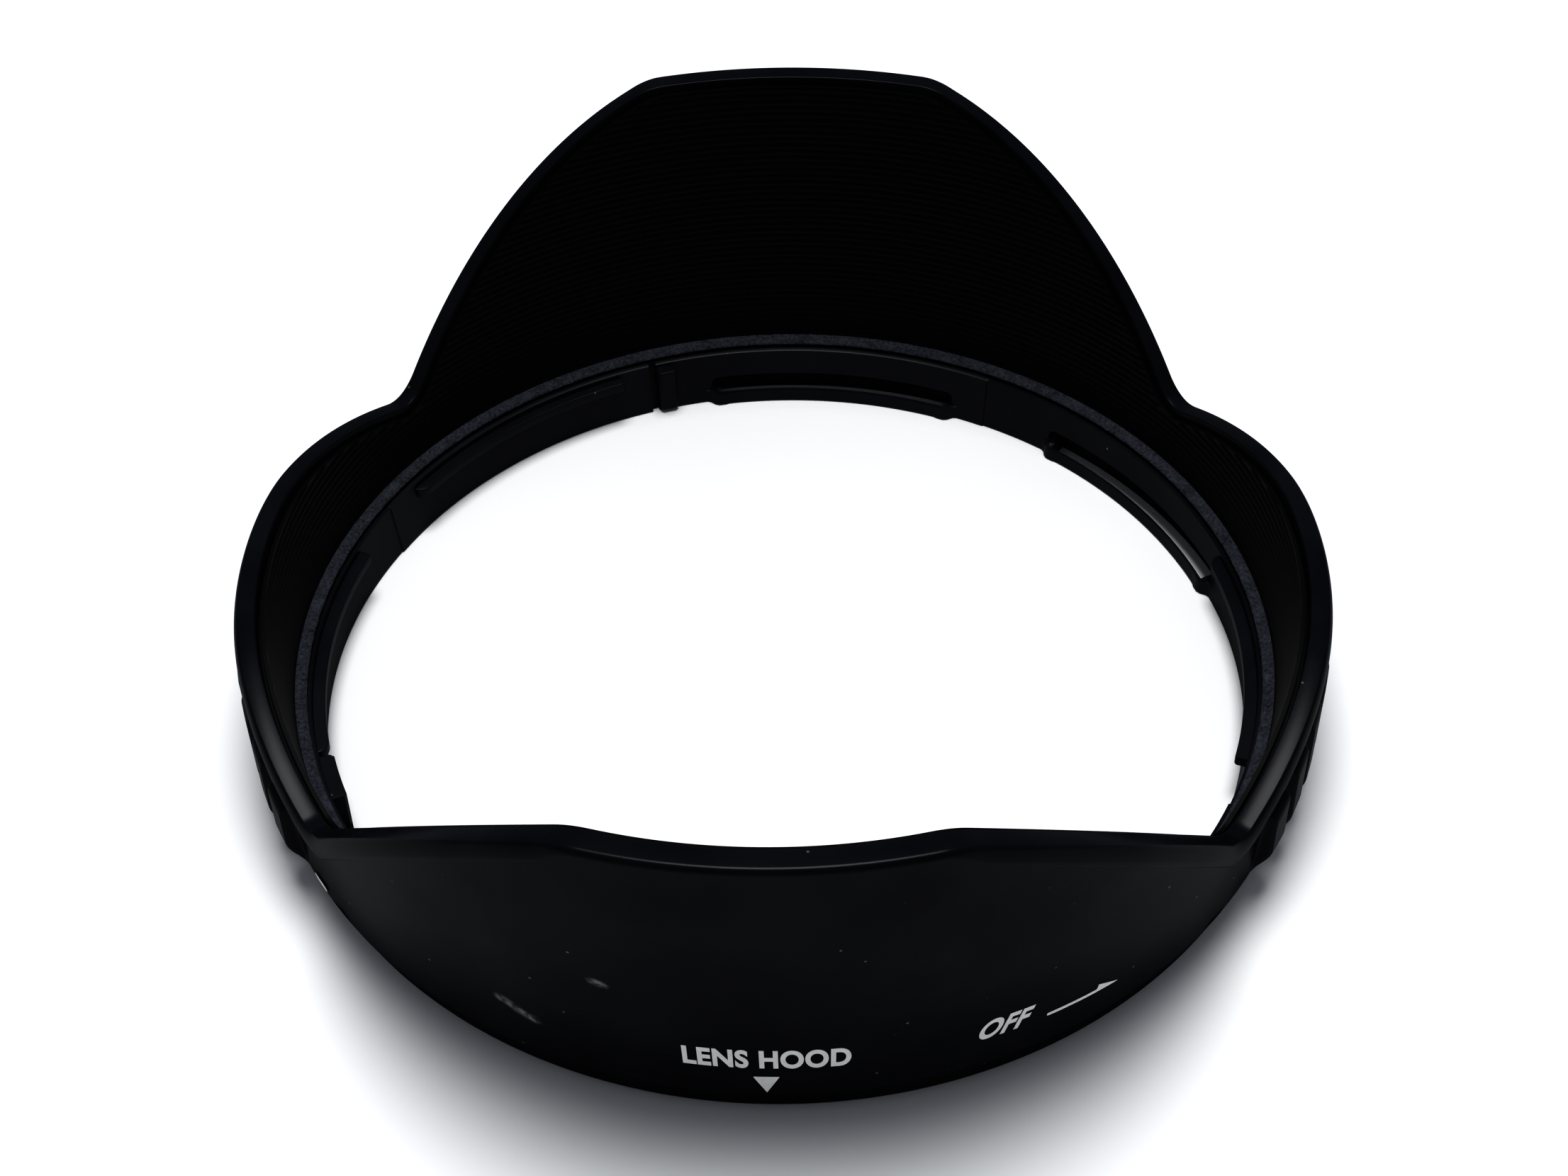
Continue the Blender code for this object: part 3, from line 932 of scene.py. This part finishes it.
def bore_block(name, azimuths, inner, low, high):
    """A block on the bore with soft inner edges; inner is one radius for each azimuth."""
    outer_low = bore_radius(azimuths, low) + LUG_EMBED
    outer_high = bore_radius(azimuths, high) + LUG_EMBED
    outline = [(outer_low, low)]
    outline += round_edge((inner + SOFT_EDGE, low + SOFT_EDGE), (SOFT_EDGE, SOFT_EDGE), -90, -180, 4)
    outline += round_edge((inner + SOFT_EDGE, high - SOFT_EDGE), (SOFT_EDGE, SOFT_EDGE), 180, 90, 4)
    outline.append((outer_high, high))
    return sweep(name, azimuths, outline, ring_abs, closed=False)


def lug(node, middle):
    """A lug about an azimuth, square where it starts and round where it ends."""
    start, end = middle - LUG_HALF, middle + LUG_HALF
    azimuths = np.concatenate([even(start, start + LUG_END, END_STEP)[:-1],
                               even(start + LUG_END, end - LUG_END, LUG_STEP)[:-1],
                               even(end - LUG_END, end, END_STEP)])
    to_nose = 1.0 - np.clip((end - azimuths) / NOSE, 0.0, 1.0)
    drop = 1.0 - np.sqrt(np.clip(1.0 - to_nose ** 2, 0.0, 1.0))
    inner = LUG_INNER + (SEAT_MOUTH - LUG_INNER) * drop
    inner = inner + SQUARE_SOFT * (1.0 - smooth_step((azimuths - start) / SQUARE_END))
    piece = bore_block(node + "_moulding", azimuths, inner, LUG_LOW, LUG_HIGH)
    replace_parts(piece, node)


for node, middle in LUGS.items():
    lug(node, middle)

# %% [markdown]
# Three small blocks stop the turn. They are made in the same way, and are soft at both ends.

# %% Stops
STOP_INNER = 40.95
STOP_STEP = 0.1
STOP_SOFT, STOP_ROUND = 0.35, 0.25    # degrees and depth of the soft edge at both ends
STOPS = {"rotation_stop_a": (108.1, 2.6), "rotation_stop_b": (288.1, 2.6), "rotation_stop_c": (202.0, 7.0)}


def stop(node, middle, span):
    low, high = lowest(node), highest(node)
    azimuths = even(middle - span / 2.0, middle + span / 2.0, STOP_STEP)
    inside = np.minimum(azimuths - azimuths[0], azimuths[-1] - azimuths)
    inner = STOP_INNER + STOP_ROUND * (1.0 - smooth_step(inside / STOP_SOFT))
    piece = bore_block(node + "_moulding", azimuths, inner, low, high)
    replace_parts(piece, node)


for node, (middle, span) in STOPS.items():
    stop(node, middle, span)

# %% [markdown]
# ## The printed marks
#
# The near petal carries the marks that help to line the hood up: a triangle, an arrow that shows
# which way to turn, and a short dash further round. Ink is about 0.03 mm thick, so each mark is a
# very thin plate that follows the cone. A plate is described by its upper and lower edge at a row
# of points, which suits shapes that are wider than they are tall.

# %% Ink plates
INK_OUTSET = 0.012
INK_THICKNESS = 0.03


def ink_plate(name, azimuth, height, sections):
    """sections lists (along, low, high): millimetres round the cone, and the mark's edges there."""
    top = INK_OUTSET + INK_THICKNESS
    points = []
    for along, low, high in sections:
        turn = azimuth + math.degrees(along / cone_radius(height))
        for outset, rise in ((INK_OUTSET, low), (INK_OUTSET, high), (top, high), (top, low)):
            points.append(tuple(on_cone(turn, height + rise, outset)))
    piece = finish_piece(name, points, tube_faces(len(sections), 4), white_ink)
    return piece


print("ink is %.2f mm thick" % INK_THICKNESS)

# %% [markdown]
# The triangle points down at the ring. The arrow is a line whose end widens into one barb, and the
# dash has round ends.

# %% Triangle, arrow and dash
TIP_SHARE = 0.97      # leaves the triangle's point a little blunt
BARB_START = 0.1      # the barb opens after this length
BARB_TIP = 0.05       # thickness that is left at its tip


def triangle_sections(width, tall):
    half = width / 2.0
    sections = []
    for share in np.linspace(-1.0, 1.0, 21):
        low = -tall / 2.0 + tall * abs(share) * TIP_SHARE
        sections.append((half * share, low, tall / 2.0))
    return sections


def arrow_sections(length, line, barb_length, barb_rise):
    """A line whose end widens into one barb on the upper side."""
    half = line / 2.0
    shaft_end = length - barb_length
    sections = [(0.0, -0.4 * half, 0.4 * half), (0.06, -0.9 * half, 0.9 * half)]
    sections += [(along, -half, half) for along in even(0.15, shaft_end, 0.4)]
    for share in np.linspace(0.0, 1.0, 7):
        along = shaft_end + BARB_START + (barb_length - BARB_START) * share
        sections.append((along, -half, barb_rise + (BARB_TIP - half - barb_rise) * share))
    return sections


def dash_sections(length, width):
    half = width / 2.0
    sections = []
    for turn in np.radians(np.linspace(80.0, 0.0, 6)):
        along = -length / 2.0 + half - half * math.sin(turn)
        sections.append((along, -half * math.cos(turn), half * math.cos(turn)))
    sections += [(-along, low, high) for along, low, high in reversed(sections)]
    return sections


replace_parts(ink_plate("printed_triangle", -90.2, 4.7, triangle_sections(2.0, 2.5)), "index_triangle")
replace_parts(ink_plate("printed_arrow", -62.5, 7.3, arrow_sections(6.7, 0.42, 2.1, 0.85)), "direction_arrow")
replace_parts(ink_plate("printed_dash", -145.4, 4.0, dash_sections(2.2, 0.8)), "alignment_dash")

# %% [markdown]
# The lettering names the kind of object and nothing else. A text curve gives clean letters. It is
# turned into a mesh, and each of its points then moves from the flat page onto the cone.

# %% Lettering
LETTER_SPACING = 1.06
MERGE = 0.002         # points closer than this become one


def lettering(name, words, azimuth, height, width, tall, lean=0.0, bolder=0.0):
    """Plain words printed round the cone: azimuth of the middle, height of the base line."""
    curve = bpy.data.curves.new(name, "FONT")
    curve.body = words
    curve.align_x = "CENTER"
    curve.extrude = 0.5
    curve.offset = bolder
    curve.space_character = LETTER_SPACING
    curve.resolution_u = 6
    flat = link_new(name, curve)
    bpy.context.view_layer.update()
    mesh = bpy.data.meshes.new_from_object(flat.evaluated_get(bpy.context.evaluated_depsgraph_get()))
    bpy.data.objects.remove(flat, do_unlink=True)
    place = np.array([vertex.co for vertex in mesh.vertices])
    lo, hi = place.min(0), place.max(0)
    along = (place[:, 0] - (lo[0] + hi[0]) / 2.0) * width / (hi[0] - lo[0])
    rise = (place[:, 1] - lo[1]) * tall / (hi[1] - lo[1])
    along = along + lean * rise
    for vertex, x, y, z in zip(mesh.vertices, along, rise, place[:, 2]):
        turn = azimuth + math.degrees(x / cone_radius(height))
        vertex.co = on_cone(turn, height + y, INK_OUTSET + (INK_THICKNESS if z > 0.0 else 0.0))
    work = bmesh.new()
    work.from_mesh(mesh)
    bmesh.ops.remove_doubles(work, verts=work.verts, dist=MERGE * MM)
    bmesh.ops.recalc_face_normals(work, faces=work.faces)
    work.to_mesh(mesh)
    work.free()
    mesh.materials.clear()
    mesh.materials.append(white_ink)
    piece = link_new(name, mesh)
    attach(piece, BODY)
    print("%s: %d points" % (name, len(mesh.vertices)))


lettering("printed_word", "LENS HOOD", -90.1, 7.25, 12.9, 2.8, bolder=0.04)
lettering("printed_direction", "OFF", -67.5, 7.0, 4.2, 2.8, lean=0.25, bolder=0.035)

# %% [markdown]
# ## Table, light and camera
#
# The hood lies on a plain white board under a round softbox. The room adds a weak light that comes
# mostly from behind. So the near wall stays nearly black, and the rim faces that lean back towards
# the softbox are the brightest parts. The camera looks down at the near petal from its front.

# %% Board
BOARD_SIZE = 4.0      # metres, so that its edge is far outside the picture


def painted_board():
    material, place = new_material("painted_board")
    cloud = add_node(material, "ShaderNodeTexNoise", {"Vector": place, "Scale": per_mm(60.0), "Detail": 2.0})
    fibre = add_node(material, "ShaderNodeTexNoise", {"Vector": place, "Scale": per_mm(1.2), "Detail": 4.0})
    colour = add_node(material, "ShaderNodeMix",
                      {0: cloud.outputs[0], 6: linear("#f4f4f4"), 7: linear("#ffffff")}, data_type="RGBA")
    bump = add_node(material, "ShaderNodeBump",
                    {"Height": fibre.outputs[0], "Strength": 0.1, "Distance": 0.02 * MM})
    shader = add_node(material, "ShaderNodeBsdfPrincipled",
                      {"Base Color": colour.outputs[2], "Roughness": 0.6, "Normal": bump.outputs[0]})
    return close_material(material, shader)


def board():
    half = BOARD_SIZE / 2.0
    points = [(-half, -half, 0.0), (half, -half, 0.0), (half, half, 0.0), (-half, half, 0.0)]
    mesh = bpy.data.meshes.new("board")
    mesh.from_pydata(points, [], [(0, 1, 2, 3)])
    mesh.materials.append(painted_board())
    link_new("board", mesh)


board()
print("board laid")

# %% [markdown]
# Black plastic shows mostly what it mirrors, so the light's size and place matter more than its
# power. The sky is weak and uneven, and the softbox is small and straight above.

# %% Light
def soft_sky(colour, behind, in_front):
    """Light from all round, stronger from behind the hood than from the camera's side."""
    world = bpy.data.worlds.new("soft_sky")
    bpy.context.scene.world = world
    world.use_nodes = True
    background = world.node_tree.nodes["Background"]
    background.inputs["Color"].default_value = linear(colour)
    direction = add_node(world, "ShaderNodeTexCoord").outputs["Generated"]
    along = add_node(world, "ShaderNodeSeparateXYZ", {0: direction}).outputs[1]
    strength = add_node(world, "ShaderNodeMapRange", {0: along, 1: -0.6, 2: 0.6, 3: in_front, 4: behind})
    world.node_tree.links.new(strength.outputs[0], background.inputs["Strength"])


def softbox(name, place, target, size, power):
    lamp = bpy.data.lights.new(name, "AREA")
    lamp.shape = "DISK"
    lamp.size = size
    lamp.energy = power
    piece = link_new(name, lamp)
    piece.location = place
    piece.rotation_euler = (Vector(target) - Vector(place)).to_track_quat("-Z", "Y").to_euler()


soft_sky("#eef2fa", 0.30, 0.20)
softbox("overhead_softbox", (0.0, 0.05, 0.8), (0.0, 0.0, 0.0), 0.36, 3.3)
bpy.context.scene.view_settings.view_transform = "Standard"
bpy.context.scene.view_settings.look = "Very High Contrast"
print("lights placed")

# %% [markdown]
# The camera's frame is built from three directions: back from the target, right and up. A small
# roll about the line of sight comes last.

# %% Camera
CAMERA_LENS = 57.33
CAMERA_DISTANCE = 220.01 * MM
CAMERA_ELEVATION = 44.494
CAMERA_TURN = 2.4235
CAMERA_ROLL = -1.4015
CAMERA_TARGET = Vector((0.146, 0.110, 12.824)) * MM


def place_camera():
    up_angle, turn, roll = (math.radians(a) for a in (CAMERA_ELEVATION, CAMERA_TURN, CAMERA_ROLL))
    back = Vector((math.sin(turn) * math.cos(up_angle), -math.cos(turn) * math.cos(up_angle),
                   math.sin(up_angle)))
    right = Vector((math.cos(turn), math.sin(turn), 0.0))
    up = back.cross(right)
    level = math.cos(roll) * right + math.sin(roll) * up
    upright = math.cos(roll) * up - math.sin(roll) * right
    turned = Matrix((level, upright, back)).transposed()
    lens = bpy.data.cameras.new("camera")
    lens.lens = CAMERA_LENS
    lens.sensor_width = 36.0
    lens.sensor_fit = "HORIZONTAL"
    lens.clip_start = 0.01
    camera = link_new("camera", lens)
    camera.matrix_world = Matrix.Translation(CAMERA_TARGET + back * CAMERA_DISTANCE) @ turned.to_4x4()
    bpy.context.scene.camera = camera
    return camera


print("camera at", [round(x, 4) for x in place_camera().matrix_world.translation])
